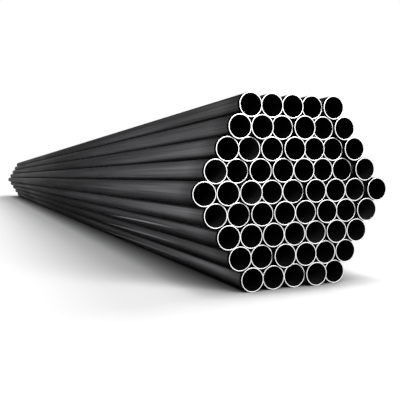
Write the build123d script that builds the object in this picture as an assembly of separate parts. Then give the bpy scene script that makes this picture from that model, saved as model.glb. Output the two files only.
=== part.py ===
from build123d import *
import math
import os

# A bundle of round steel tubes, nested in a hexagon with five tubes to a side.
# It lies on one flat side of the hexagon. The tubes run along Y with their near
# ends towards -Y, X runs across the bundle, and Z is up. The origin is on the
# ground, under the middle of the bundle. Sizes are in millimetres.

# Each tube
tube_diameter = 48.3
tube_wall = 3.0
tube_length = 6000.0

# The stack
tube_gap = 0.3  # air between neighbours, from the tolerance on their roundness
end_step = 2.5  # the step in which a tube's end stands out of the bundle's face

# The rows from the ground up, and in each row the tubes from left to right. The
# number is how many steps the tube's near end stands out. Under zero it sits back.
tube_rows = {
    "tube_row_1": (2, 0, -1, 1, -3),
    "tube_row_2": (1, -1, 2, 1, -1, -1),
    "tube_row_3": (2, 1, 1, 0, 0, 1, 1),
    "tube_row_4": (0, -1, 1, 2, 1, 2, 0, 2),
    "tube_row_5": (2, 2, 2, -1, -2, 1, 0, -1, 3),
    "tube_row_6": (1, -3, -1, 0, -1, -4, -5, 0),
    "tube_row_7": (2, -1, 0, 2, -1, -4, -1),
    "tube_row_8": (4, 3, -1, 1, -3, -1),
    "tube_row_9": (3, 1, -1, -4, -2),
}

# Neighbours in a row lie one pitch apart, and each tube of the next row lies in
# the valley between two of them, so three neighbours make an equal-sided triangle.
tube_pitch = tube_diameter + tube_gap
row_rise = tube_pitch * math.sin(math.radians(60))

# All tubes are cut to one length, so a tube that stands out at the near end sits
# back at the far end. The middle step keeps the whole bundle even about Y = 0.
all_steps = [steps for row in tube_rows.values() for steps in row]
middle_step = (max(all_steps) + min(all_steps)) / 2


def tube_axis(level, place, steps, tubes_in_row):
    """The middle of the tube's near end, for a tube at this level and place."""
    return Vector(
        (place - (tubes_in_row - 1) / 2) * tube_pitch,
        -tube_length / 2 - (steps - middle_step) * end_step,
        tube_diameter / 2 + level * row_rise,
    )


def make_tube(near_end):
    """One square-cut tube: its ring section, drawn at the near end and extruded."""
    outer_radius = tube_diameter / 2
    section_plane = Plane(origin=near_end, x_dir=(1, 0, 0), z_dir=(0, 1, 0))
    with BuildPart() as tube:
        with BuildSketch(section_plane):
            Circle(outer_radius)
            Circle(outer_radius - tube_wall, mode=Mode.SUBTRACT)
        extrude(amount=tube_length)
    return tube.part


def make_row(name, level, row):
    """The tubes of one row, side by side and not touching."""
    tubes = [
        make_tube(tube_axis(level, place, steps, len(row)))
        for place, steps in enumerate(row)
    ]
    return Compound(label=name, children=tubes)


os.makedirs("parts", exist_ok=True)
for level, (name, row) in enumerate(tube_rows.items()):
    export_step(make_row(name, level, row), f"parts/{name}.step")
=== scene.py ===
import math
import random
import bmesh
import bpy
from mathutils import Matrix, Vector


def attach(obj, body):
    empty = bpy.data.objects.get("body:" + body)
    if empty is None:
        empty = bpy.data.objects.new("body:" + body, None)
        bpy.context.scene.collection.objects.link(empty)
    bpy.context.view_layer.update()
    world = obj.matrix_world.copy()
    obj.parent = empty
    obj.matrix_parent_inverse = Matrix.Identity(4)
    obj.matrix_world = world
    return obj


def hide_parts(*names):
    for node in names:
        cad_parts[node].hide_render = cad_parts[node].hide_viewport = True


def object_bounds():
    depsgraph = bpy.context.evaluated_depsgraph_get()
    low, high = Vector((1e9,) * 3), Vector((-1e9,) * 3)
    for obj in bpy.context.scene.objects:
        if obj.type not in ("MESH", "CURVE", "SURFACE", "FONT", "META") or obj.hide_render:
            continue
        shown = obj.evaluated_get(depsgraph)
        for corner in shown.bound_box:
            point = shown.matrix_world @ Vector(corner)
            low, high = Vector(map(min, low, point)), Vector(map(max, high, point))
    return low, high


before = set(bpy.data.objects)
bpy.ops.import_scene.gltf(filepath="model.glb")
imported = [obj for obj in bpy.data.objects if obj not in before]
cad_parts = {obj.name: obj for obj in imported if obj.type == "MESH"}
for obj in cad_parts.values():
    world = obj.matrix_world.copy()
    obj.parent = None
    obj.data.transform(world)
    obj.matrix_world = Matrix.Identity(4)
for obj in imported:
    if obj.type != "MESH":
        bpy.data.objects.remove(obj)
cadLow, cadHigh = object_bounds()
print("frame loaded:", len(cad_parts), "rows of tubes")

# A hexagonal stack of round steel tubes, seen from the left of its near ends.
# Metres throughout, with +Y along the tubes and +Z up, as in the frame.
mm = 0.001


def linearColor(sRgbHex):
    # a colour written as sRGB hex, turned to the linear values that a shader works in
    channels = [int(sRgbHex[i : i + 2], 16) / 255 for i in (1, 3, 5)]
    return [c / 12.92 if c <= 0.04045 else ((c + 0.055) / 1.055) ** 2.4 for c in channels] + [1.0]


def addNode(material, kind, inputs=None, **settings):
    # a plain value is set on the node's socket, and another node's output is linked to it
    node = material.node_tree.nodes.new(kind)
    for name, value in settings.items():
        setattr(node, name, value)
    for socket, value in (inputs or {}).items():
        if isinstance(value, bpy.types.NodeSocket):
            material.node_tree.links.new(value, node.inputs[socket])
        else:
            node.inputs[socket].default_value = value
    return node


def newMaterial(name):
    material = bpy.data.materials.new(name)
    material.use_nodes = True
    material.node_tree.nodes.clear()
    return material


# The camera stands low and to the left of the near ends. Its place is measured on the floor, from
# below the middle of the stack's foremost end. Place, angles and lens were fitted to the photo.
photoCamera = {
    "across": -593.2 * mm,
    "back": 991.9 * mm,
    "height": 232.1 * mm,
    "yaw": 21.35,  # degrees to the right of straight along the tubes
    "pitch": -2.67,
    "roll": -0.95,
    "lens": 52.08,  # this and the sensor's width are in millimetres, as on a real camera
    "sensor": 36.0,
    "farClip": 200.0,
}


def makeCamera():
    data = bpy.data.cameras.new("photoCamera")
    data.lens = photoCamera["lens"]
    data.sensor_width = photoCamera["sensor"]
    data.clip_end = photoCamera["farClip"]
    camera = bpy.data.objects.new("photoCamera", data)
    bpy.context.scene.collection.objects.link(camera)
    turn = (
        Matrix.Rotation(-math.radians(photoCamera["yaw"]), 4, "Z")
        @ Matrix.Rotation(math.radians(90 + photoCamera["pitch"]), 4, "X")
        @ Matrix.Rotation(math.radians(photoCamera["roll"]), 4, "Z")
    )
    place = Vector((photoCamera["across"], cadLow.y - photoCamera["back"], photoCamera["height"]))
    camera.matrix_world = Matrix.Translation(place) @ turn
    bpy.context.scene.camera = camera


makeCamera()
print("camera set")


# The tubes: each is one ring-shaped wall, spun from its section. A deburring tool leaves a bevel round
# each edge of a sawn end. The inner one is made wide, so that the bright ring looks as thin as it should.
tubeShape = {
    "segments": 64,
    "outerDeburr": 0.4 * mm,
    "innerDeburr": 1.25 * mm,
    "deburrSteps": 2,
    "sharpFrom": 30.0,  # degrees between two faces, from which their edge is a sharp one
    "cutFrom": 0.99,  # how nearly along the tube a face looks, to be part of a sawn end
    "sameWithin": 0.01 * mm,  # corners this near each other are one
}


def readTubes(node):
    # one tube for each loose shell of the row: where its axis is, its ends and its two radii
    shells = bmesh.new()
    shells.from_mesh(node.data)
    bmesh.ops.remove_doubles(shells, verts=shells.verts, dist=tubeShape["sameWithin"])
    tubes, seen = [], set()
    for start in shells.verts:
        if start in seen:
            continue
        shell, edge = [], [start]
        seen.add(start)
        while edge:
            vert = edge.pop()
            shell.append(vert.co.copy())
            for link in vert.link_edges:
                other = link.other_vert(vert)
                if other not in seen:
                    seen.add(other)
                    edge.append(other)
        low = Vector([min(p[i] for p in shell) for i in range(3)])
        high = Vector([max(p[i] for p in shell) for i in range(3)])
        axis = (low + high) / 2
        reach = [math.hypot(p.x - axis.x, p.z - axis.z) for p in shell]
        tubes.append(
            {
                "x": axis.x,
                "z": axis.z,
                "near": low.y,
                "far": high.y,
                "outer": max(reach),
                "inner": min(reach),
            }
        )
    shells.free()
    return sorted(tubes, key=lambda tube: tube["x"])


nodeNames = sorted(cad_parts)
tubeRows = [readTubes(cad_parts[nodeName]) for nodeName in nodeNames]
# all tubes are of one size
tubeRadius = tubeRows[0][0]["outer"]
tubeLength = tubeRows[0][0]["far"] - tubeRows[0][0]["near"]
print("tubes read:", sum(len(row) for row in tubeRows))

# where each finish stands in a tube's list of materials
finishPlace = {"outside": 0, "bore": 1, "sawnEnd": 2}


def makeTube(name, tube, materials):
    shape = bmesh.new()
    corners = [
        shape.verts.new((radius, y, 0))
        for radius, y in (
            (tube["outer"], tube["near"]),
            (tube["outer"], tube["far"]),
            (tube["inner"], tube["far"]),
            (tube["inner"], tube["near"]),
        )
    ]
    section = [shape.edges.new(pair) for pair in zip(corners, corners[1:] + corners[:1])]
    bmesh.ops.spin(
        shape,
        geom=corners + section,
        cent=(0, 0, 0),
        axis=(0, 1, 0),
        angle=2 * math.pi,
        steps=tubeShape["segments"],
        use_merge=True,
    )
    bmesh.ops.recalc_face_normals(shape, faces=shape.faces)
    middle = (tube["outer"] + tube["inner"]) / 2
    for outside, offset in ((True, tubeShape["outerDeburr"]), (False, tubeShape["innerDeburr"])):
        rims = [
            e
            for e in shape.edges
            if abs(e.verts[0].co.y - e.verts[1].co.y) < mm
            and all((math.hypot(v.co.x, v.co.z) > middle) == outside for v in e.verts)
        ]
        bmesh.ops.bevel(
            shape,
            geom=rims,
            offset=offset,
            affect="EDGES",
            segments=tubeShape["deburrSteps"],
            profile=0.5,
            material=-1,
            clamp_overlap=True,
        )
    for face in shape.faces:
        centre = face.calc_center_median()
        face.smooth = True
        if abs(face.normal.y) > tubeShape["cutFrom"]:
            face.material_index = finishPlace["sawnEnd"]
        elif math.hypot(centre.x, centre.z) < middle:
            face.material_index = finishPlace["bore"]
        else:
            face.material_index = finishPlace["outside"]
    for e in shape.edges:
        e.smooth = e.calc_face_angle(0) < math.radians(tubeShape["sharpFrom"])
    bmesh.ops.translate(shape, verts=shape.verts, vec=(tube["x"], 0, tube["z"]))
    mesh = bpy.data.meshes.new(name)
    shape.to_mesh(mesh)
    shape.free()
    # each corner's place from the middle of the tube's near end, for marks that follow the tube
    own = mesh.attributes.new("ownPlace", "FLOAT_VECTOR", "POINT")
    for vert, value in zip(mesh.vertices, own.data):
        value.vector = (vert.co.x - tube["x"], vert.co.y - tube["near"], vert.co.z - tube["z"])
    for trait in ("shade", "paintedStreakEnd"):
        values = mesh.attributes.new(trait, "FLOAT", "POINT").data
        values.foreach_set("value", [tube[trait]] * len(values))
    for material in materials:
        mesh.materials.append(material)
    piece = bpy.data.objects.new(name, mesh)
    bpy.context.scene.collection.objects.link(piece)
    return piece


# No two tubes come out of the mill quite alike. How light each is: for the left-hand tubes, as fitted to
# the photo in the rows from the ground up, and for the others between two values, from a fixed seed.
tubeShades = {
    "left": (0.8, 0.72, 0.78, 1.1, 1.0, 1.15, 0.95, 1.0, 0.9),
    "others": (0.8, 1.15),
    "seed": 61,
}

millSteel = {
    "dark": "#525253",
    "light": "#808082",
    "edgeTint": 0.02,  # the oxide takes the glare off at a low angle
    "roughness": (0.3, 0.46),
    # marks along the tube: how wide, how much they are drawn out, where less is longer, and how fine.
    # Real draw marks are narrower, too fine to show.
    "marks": {
        "draw": (2.0 * mm, 0.004, 3.0),
        "band": (14.0 * mm, 0.01, 2.0),
        "cloud": (90.0 * mm, 0.1, 3.0),
    },
    "cloudShare": 0.5,  # against the bands
    "drawShare": 0.4,  # against both
    "toneMarks": (0.38, 0.62),  # how strong the marks are where the steel is dark, and where it is light
    "glossMarks": (0.3, 0.7),  # and where it is roughest, and smoothest
    "relief": (0.06, 0.2 * mm),  # how strongly the draw marks stand out, and how far
    "underside": (-0.7, 0.1),  # heights on the tube, in radii, between which the painted shade on the underside fades out upwards
    "undersideShade": 0.45,  # painted shade: the underside near the near end is darkened to this
    "undersideShadeEnd": (100.0 * mm, 650.0 * mm),  # between these, from the near end on, that painted shade dies out
    "farShadeFrom": 3000.0 * mm,  # past here, painted shade darkens the tube more and more, to the next value at the far end
    "farShadeTone": 0.52,
    "burntAndShadedEnd": (5.0 * mm, 12.0 * mm),  # the saw's heat blackens the outside to the first, and fades; this band is also painted shade in the gaps between the tube ends
    "burntAndShadedTone": "#0b0b0b",
    "smokedEnd": 110.0 * mm,  # and a faint darkening runs on to here
    "smoked": 0.6,
}

# Long painted reflections: pale streaks on the left of the lowest tubes, where they mirror the lit floor.
# Each grows clearer away from the near end, sinks round the tube and runs out to a point.
paintedStreak = {
    "reach": (1420.0 * mm, 1260.0 * mm, 1000.0 * mm),  # in the rows from the ground up
    "noReach": 1.0 * mm,  # on the other tubes, too short to show
    "sink": 0.62,  # these three in radii of the tube: how far below its middle height the scuff ends,
    "halfWidth": 0.12,  # half its width before it narrows,
    "softness": 0.1,  # and how soft its edge is
    "sinkCurve": 2.0,  # the powers of the share of its reach by which it sinks
    "narrowCurve": 4.0,  # and narrows
    "reflectionTone": "#f0f0f2",
    "fadeIn": (0.2, 0.9),  # the shares of its reach between which it grows clear
}


def addPaintedStreak(material, tone, ownPlace):
    end = addNode(material, "ShaderNodeAttribute", attribute_name="paintedStreakEnd").outputs["Fac"]
    passed = addNode(material, "ShaderNodeMath", {0: ownPlace["Y"], 1: end}, operation="DIVIDE").outputs[0]
    # how far round the tube a point lies from the middle of the painted reflection streak, in radii
    sunk = addNode(
        material, "ShaderNodeMath", {0: passed, 1: paintedStreak["sinkCurve"]}, operation="POWER"
    ).outputs[0]
    height = addNode(
        material, "ShaderNodeMath", {0: ownPlace["Z"], 1: tubeRadius}, operation="DIVIDE"
    ).outputs[0]
    off = addNode(
        material, "ShaderNodeMath", {0: sunk, 1: paintedStreak["sink"], 2: height}, operation="MULTIPLY_ADD"
    ).outputs[0]
    off = addNode(material, "ShaderNodeMath", {0: off}, operation="ABSOLUTE").outputs[0]
    # and how far inside its edge, which closes to a point
    taper = addNode(
        material, "ShaderNodeMath", {0: passed, 1: paintedStreak["narrowCurve"]}, operation="POWER"
    ).outputs[0]
    width = addNode(
        material, "ShaderNodeMath",
        {0: taper, 1: -paintedStreak["halfWidth"], 2: paintedStreak["halfWidth"]},
        operation="MULTIPLY_ADD",
    ).outputs[0]
    inside = addNode(material, "ShaderNodeMath", {0: width, 1: off}, operation="SUBTRACT").outputs[0]
    mark = addNode(
        material, "ShaderNodeMapRange", {"Value": inside, "From Min": 0.0, "From Max": paintedStreak["softness"]}
    ).outputs["Result"]
    low, high = paintedStreak["fadeIn"]
    clear = addNode(
        material, "ShaderNodeMapRange", {"Value": passed, "From Min": low, "From Max": high}
    ).outputs["Result"]
    onLeft = addNode(
        material, "ShaderNodeMath", {0: ownPlace["X"], 1: 0.0}, operation="LESS_THAN"
    ).outputs[0]
    for share in (clear, onLeft):
        mark = addNode(material, "ShaderNodeMath", {0: mark, 1: share}, operation="MULTIPLY").outputs[0]
    return addNode(
        material, "ShaderNodeMix", {"Factor": mark, "A": tone, "B": linearColor(paintedStreak["reflectionTone"])},
        data_type="RGBA",
    ).outputs[2]


def makeMillSteel():
    # hot-finished tube: a thin dark oxide, satin, with faint lengthwise draw marks, and with painted shade
    # and painted reflection streaks
    material = newMaterial("dark_mill_steel_painted_shade")
    place = addNode(material, "ShaderNodeTexCoord").outputs["Object"]
    lengthwise = {}
    for mark, (width, stretch, detail) in millSteel["marks"].items():
        drawn = addNode(
            material, "ShaderNodeMapping", {"Vector": place, "Scale": (1, stretch, 1)}
        ).outputs["Vector"]
        lengthwise[mark] = addNode(
            material, "ShaderNodeTexNoise", {"Vector": drawn, "Scale": 1 / width, "Detail": detail}
        ).outputs["Fac"]
    wide = addNode(
        material, "ShaderNodeMix",
        {"Factor": millSteel["cloudShare"], "A": lengthwise["band"], "B": lengthwise["cloud"]},
    ).outputs[0]
    both = addNode(
        material, "ShaderNodeMix", {"Factor": millSteel["drawShare"], "A": wide, "B": lengthwise["draw"]}
    ).outputs[0]
    low, high = millSteel["toneMarks"]
    spread = addNode(
        material, "ShaderNodeMapRange", {"Value": both, "From Min": low, "From Max": high}
    ).outputs["Result"]
    tone = addNode(
        material, "ShaderNodeMix",
        {"Factor": spread, "A": linearColor(millSteel["dark"]), "B": linearColor(millSteel["light"])},
        data_type="RGBA",
    ).outputs[2]
    ownPlace = addNode(
        material, "ShaderNodeSeparateXYZ",
        {"Vector": addNode(material, "ShaderNodeAttribute", attribute_name="ownPlace").outputs["Vector"]},
    ).outputs
    along = ownPlace["Y"]
    # painted shade: the underside is darkened near the near end, less and less along the tube
    low, high = millSteel["undersideShadeEnd"]
    undersideShadeAlong = addNode(
        material, "ShaderNodeMapRange",
        {"Value": along, "From Min": low, "From Max": high, "To Min": millSteel["undersideShade"]},
        interpolation_type="SMOOTHSTEP",
    ).outputs["Result"]
    low, high = millSteel["underside"]
    paintedUnderShade = addNode(
        material, "ShaderNodeMapRange",
        {
            "Value": ownPlace["Z"],
            "From Min": low * tubeRadius,
            "From Max": high * tubeRadius,
            "To Min": undersideShadeAlong,
        },
        interpolation_type="SMOOTHSTEP",
    ).outputs["Result"]
    # painted shade: the tube grows darker from there to its far end
    paintedFarShade = addNode(
        material, "ShaderNodeMapRange",
        {
            "Value": along,
            "From Min": millSteel["farShadeFrom"],
            "From Max": tubeLength,
            "To Min": 1.0,
            "To Max": millSteel["farShadeTone"],
        },
    ).outputs["Result"]
    # both ends of a tube are burnt, and carry painted shade in the same band
    toFarEnd = addNode(
        material, "ShaderNodeMath", {0: tubeLength, 1: along}, operation="SUBTRACT"
    ).outputs[0]
    toEnd = addNode(material, "ShaderNodeMath", {0: along, 1: toFarEnd}, operation="MINIMUM").outputs[0]
    solid, faded = millSteel["burntAndShadedEnd"]
    clean = addNode(
        material, "ShaderNodeMapRange", {"Value": toEnd, "From Min": solid, "From Max": faded},
        interpolation_type="SMOOTHSTEP",
    ).outputs["Result"]
    smoke = addNode(
        material, "ShaderNodeMapRange",
        {
            "Value": toEnd,
            "From Min": faded,
            "From Max": millSteel["smokedEnd"],
            "To Min": millSteel["smoked"],
        },
        interpolation_type="SMOOTHSTEP",
    ).outputs["Result"]
    batch = addNode(material, "ShaderNodeAttribute", attribute_name="shade").outputs["Fac"]
    # painted shade on the underside and towards the far end, then the faint end darkening and each tube's
    # own shade
    for shade in (paintedUnderShade, paintedFarShade, smoke, batch):
        tone = addNode(
            material, "ShaderNodeVectorMath", {0: tone, "Scale": shade}, operation="SCALE"
        ).outputs["Vector"]
    # painted reflection: pale streaks on the lowest left-hand tubes
    tone = addPaintedStreak(material, tone, ownPlace)
    tone = addNode(
        material, "ShaderNodeMix",
        {"Factor": clean, "A": linearColor(millSteel["burntAndShadedTone"]), "B": tone},
        data_type="RGBA",
    ).outputs[2]
    low, high = millSteel["glossMarks"]
    smooth, matt = millSteel["roughness"]
    rough = addNode(
        material, "ShaderNodeMapRange",
        {"Value": both, "From Min": low, "From Max": high, "To Min": matt, "To Max": smooth},
    ).outputs["Result"]
    strength, depth = millSteel["relief"]
    relief = addNode(
        material, "ShaderNodeBump",
        {"Height": lengthwise["draw"], "Strength": strength, "Distance": depth},
    ).outputs["Normal"]
    tint = millSteel["edgeTint"]
    shader = addNode(
        material, "ShaderNodeBsdfPrincipled",
        {
            "Base Color": tone,
            "Metallic": 1.0,
            "Roughness": rough,
            "Specular Tint": (tint, tint, tint, 1.0),
            "Normal": relief,
        },
    ).outputs["BSDF"]
    addNode(material, "ShaderNodeOutputMaterial", {"Surface": shader})
    return material


bore = {
    "scale": "#0c0c0c",
    "bare": "#3c3c3c",  # what thin scale goes towards, in the tubes of the lightest shade
    "rareness": 4.0,  # the higher, the fewer those tubes
    "speckleWidth": 5.0 * mm,
    "speckleDetail": 3.0,
    "roughness": 0.8,
}


def makeBoreOxide():
    # dull scale inside the tube, matt and nearly black, thinner in some tubes than in others
    material = newMaterial("black_scale_in_bore")
    place = addNode(material, "ShaderNodeTexCoord").outputs["Object"]
    speckle = addNode(
        material, "ShaderNodeTexNoise",
        {"Vector": place, "Scale": 1 / bore["speckleWidth"], "Detail": bore["speckleDetail"]},
    ).outputs["Fac"]
    own = addNode(material, "ShaderNodeAttribute", attribute_name="shade").outputs["Fac"]
    low, high = tubeShades["others"]
    lightest = addNode(
        material, "ShaderNodeMapRange", {"Value": own, "From Min": low, "From Max": high}
    ).outputs["Result"]
    rare = addNode(
        material, "ShaderNodeMath", {0: lightest, 1: bore["rareness"]}, operation="POWER"
    ).outputs[0]
    thin = addNode(material, "ShaderNodeMath", {0: rare, 1: speckle}, operation="MULTIPLY").outputs[0]
    tone = addNode(
        material, "ShaderNodeMix",
        {"Factor": thin, "A": linearColor(bore["scale"]), "B": linearColor(bore["bare"])},
        data_type="RGBA",
    ).outputs[2]
    shader = addNode(
        material, "ShaderNodeBsdfPrincipled",
        {"Base Color": tone, "Roughness": bore["roughness"], "Specular IOR Level": 0.0},
    ).outputs["BSDF"]
    addNode(material, "ShaderNodeOutputMaterial", {"Surface": shader})
    return material


sawnFace = {
    "dark": "#e0e0e2",
    "light": "#fafafa",
    "markWidth": 0.8 * mm,
    "markStretch": 0.1,  # draws the marks out across the stack, the same way on every tube
    "markDetail": 2.0,
    "relief": (0.2, 0.05 * mm),  # how strongly the marks stand out, and how far
    "roughness": (0.25, 0.45),
}


def makeSawnSteel():
    # bare steel, freshly sawn: bright, with fine marks across it that break up its shine
    material = newMaterial("bright_sawn_steel")
    place = addNode(material, "ShaderNodeTexCoord").outputs["Object"]
    drawn = addNode(
        material, "ShaderNodeMapping", {"Vector": place, "Scale": (sawnFace["markStretch"], 1, 1)}
    ).outputs["Vector"]
    marks = addNode(
        material, "ShaderNodeTexNoise",
        {"Vector": drawn, "Scale": 1 / sawnFace["markWidth"], "Detail": sawnFace["markDetail"]},
    ).outputs["Fac"]
    tone = addNode(
        material, "ShaderNodeMix",
        {"Factor": marks, "A": linearColor(sawnFace["dark"]), "B": linearColor(sawnFace["light"])},
        data_type="RGBA",
    ).outputs[2]
    smooth, matt = sawnFace["roughness"]
    rough = addNode(
        material, "ShaderNodeMapRange", {"Value": marks, "To Min": matt, "To Max": smooth}
    ).outputs["Result"]
    strength, depth = sawnFace["relief"]
    relief = addNode(
        material, "ShaderNodeBump", {"Height": marks, "Strength": strength, "Distance": depth}
    ).outputs["Normal"]
    shader = addNode(
        material, "ShaderNodeBsdfPrincipled",
        {"Base Color": tone, "Metallic": 1.0, "Roughness": rough, "Normal": relief},
    ).outputs["BSDF"]
    addNode(material, "ShaderNodeOutputMaterial", {"Surface": shader})
    return material


tubeFinishes = [makeMillSteel(), makeBoreOxide(), makeSawnSteel()]  # in the order of finishPlace
anyShade = random.Random(tubeShades["seed"])
for level, (nodeName, row) in enumerate(zip(nodeNames, tubeRows)):
    for place, tube in enumerate(row):
        leftHand = place == 0
        tube["shade"] = tubeShades["left"][level] if leftHand else anyShade.uniform(*tubeShades["others"])
        # the lowest left-hand tubes get a painted reflection streak
        streakPainted = leftHand and level < len(paintedStreak["reach"])
        tube["paintedStreakEnd"] = paintedStreak["reach"][level] if streakPainted else paintedStreak["noReach"]
        piece = makeTube(f"{nodeName}_tube_{place + 1}", tube, tubeFinishes)
        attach(piece, "root")
        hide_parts(nodeName)
print("tubes made")


# The studio: a white floor and surround, a wide soft key lamp in front of the near ends and to their
# right, and three weaker ones round the stack
studio = {
    "floorReach": 60.0,
    "floorColor": "#ffffff",
    "floorBounce": "#808080",  # the floor's colour for the light that it throws on to matt surfaces
    "contactReach": 100.0 * mm,  # how far the shade close to the tubes reaches
    "contactDepth": 1.25,
    "contactSamples": 16,
    # where each soft lamp stands, from the stack: its bearing, counted from +X towards +Y, its height
    # above the floor and its width, all in degrees, and the light that it brings to the floor
    "lamps": {
        "key": (293, 27, 30, 0.4),
        "frontLeft": (252, 34, 28, 0.22),
        "right": (18, 46, 24, 0.22),
        "top": (60, 80, 24, 0.08),
    },
    # how bright the floor gets, where 1 is white: each lamp's light times the first, and the second, the
    # faint light of the whole surround, added once
    "floorLight": 1.08,
    "fillShare": 0.1,
}


def seenBackground(material):
    # 1 where the camera looks, straight or by way of metal or glass, and 0 for the light itself
    path = addNode(material, "ShaderNodeLightPath").outputs
    first = addNode(
        material, "ShaderNodeMath",
        {0: path["Is Camera Ray"], 1: path["Is Glossy Ray"]},
        operation="MAXIMUM",
    ).outputs[0]
    return addNode(
        material, "ShaderNodeMath", {0: first, 1: path["Is Transmission Ray"]}, operation="MAXIMUM"
    ).outputs[0]


def makeStudio():
    shape = bmesh.new()
    bmesh.ops.create_grid(shape, x_segments=1, y_segments=1, size=studio["floorReach"])
    mesh = bpy.data.meshes.new("floor")
    shape.to_mesh(mesh)
    shape.free()
    paint = newMaterial("white_floor")
    seen = seenBackground(paint)
    tone = addNode(
        paint, "ShaderNodeMix",
        {"Factor": seen, "A": linearColor(studio["floorBounce"]), "B": linearColor(studio["floorColor"])},
        data_type="RGBA",
    ).outputs[2]
    around = addNode(
        paint, "ShaderNodeAmbientOcclusion",
        {"Distance": studio["contactReach"]},
        samples=studio["contactSamples"],
    ).outputs["AO"]
    shade = addNode(
        paint, "ShaderNodeMath", {0: around, 1: studio["contactDepth"]}, operation="POWER"
    ).outputs[0]
    # only the camera sees that shade: the steel mirrors the floor as it is lit
    direct = addNode(paint, "ShaderNodeLightPath").outputs["Is Camera Ray"]
    shade = addNode(paint, "ShaderNodeMix", {"Factor": direct, "A": 1.0, "B": shade}).outputs[0]
    tone = addNode(
        paint, "ShaderNodeVectorMath", {0: tone, "Scale": shade}, operation="SCALE"
    ).outputs["Vector"]
    flat = addNode(paint, "ShaderNodeBsdfDiffuse", {"Color": tone}).outputs["BSDF"]
    addNode(paint, "ShaderNodeOutputMaterial", {"Surface": flat})
    mesh.materials.append(paint)
    floor = bpy.data.objects.new("floor", mesh)
    bpy.context.scene.collection.objects.link(floor)

    world = bpy.data.worlds.new("white_surround")
    world.use_nodes = True
    world.node_tree.nodes.clear()
    seen = seenBackground(world)
    strength = addNode(
        world, "ShaderNodeMapRange", {"Value": seen, "To Min": studio["fillShare"], "To Max": 1.0}
    ).outputs["Result"]
    light = addNode(
        world, "ShaderNodeBackground", {"Color": (1, 1, 1, 1), "Strength": strength}
    ).outputs["Background"]
    addNode(world, "ShaderNodeOutputWorld", {"Surface": light})
    bpy.context.scene.world = world

    for name, (bearing, height, width, share) in studio["lamps"].items():
        turn, rise = math.radians(bearing), math.radians(height)
        towards = Vector((math.cos(rise) * math.cos(turn), math.cos(rise) * math.sin(turn), math.sin(rise)))
        data = bpy.data.lights.new(name + "_lamp", "SUN")
        data.angle = math.radians(width)
        data.energy = math.pi * studio["floorLight"] * share / towards.z
        lamp = bpy.data.objects.new(name + "_lamp", data)
        bpy.context.scene.collection.objects.link(lamp)
        lamp.matrix_world = towards.to_track_quat("Z", "Y").to_matrix().to_4x4()


makeStudio()
bpy.context.scene.view_settings.view_transform = "Standard"
print("studio lit")
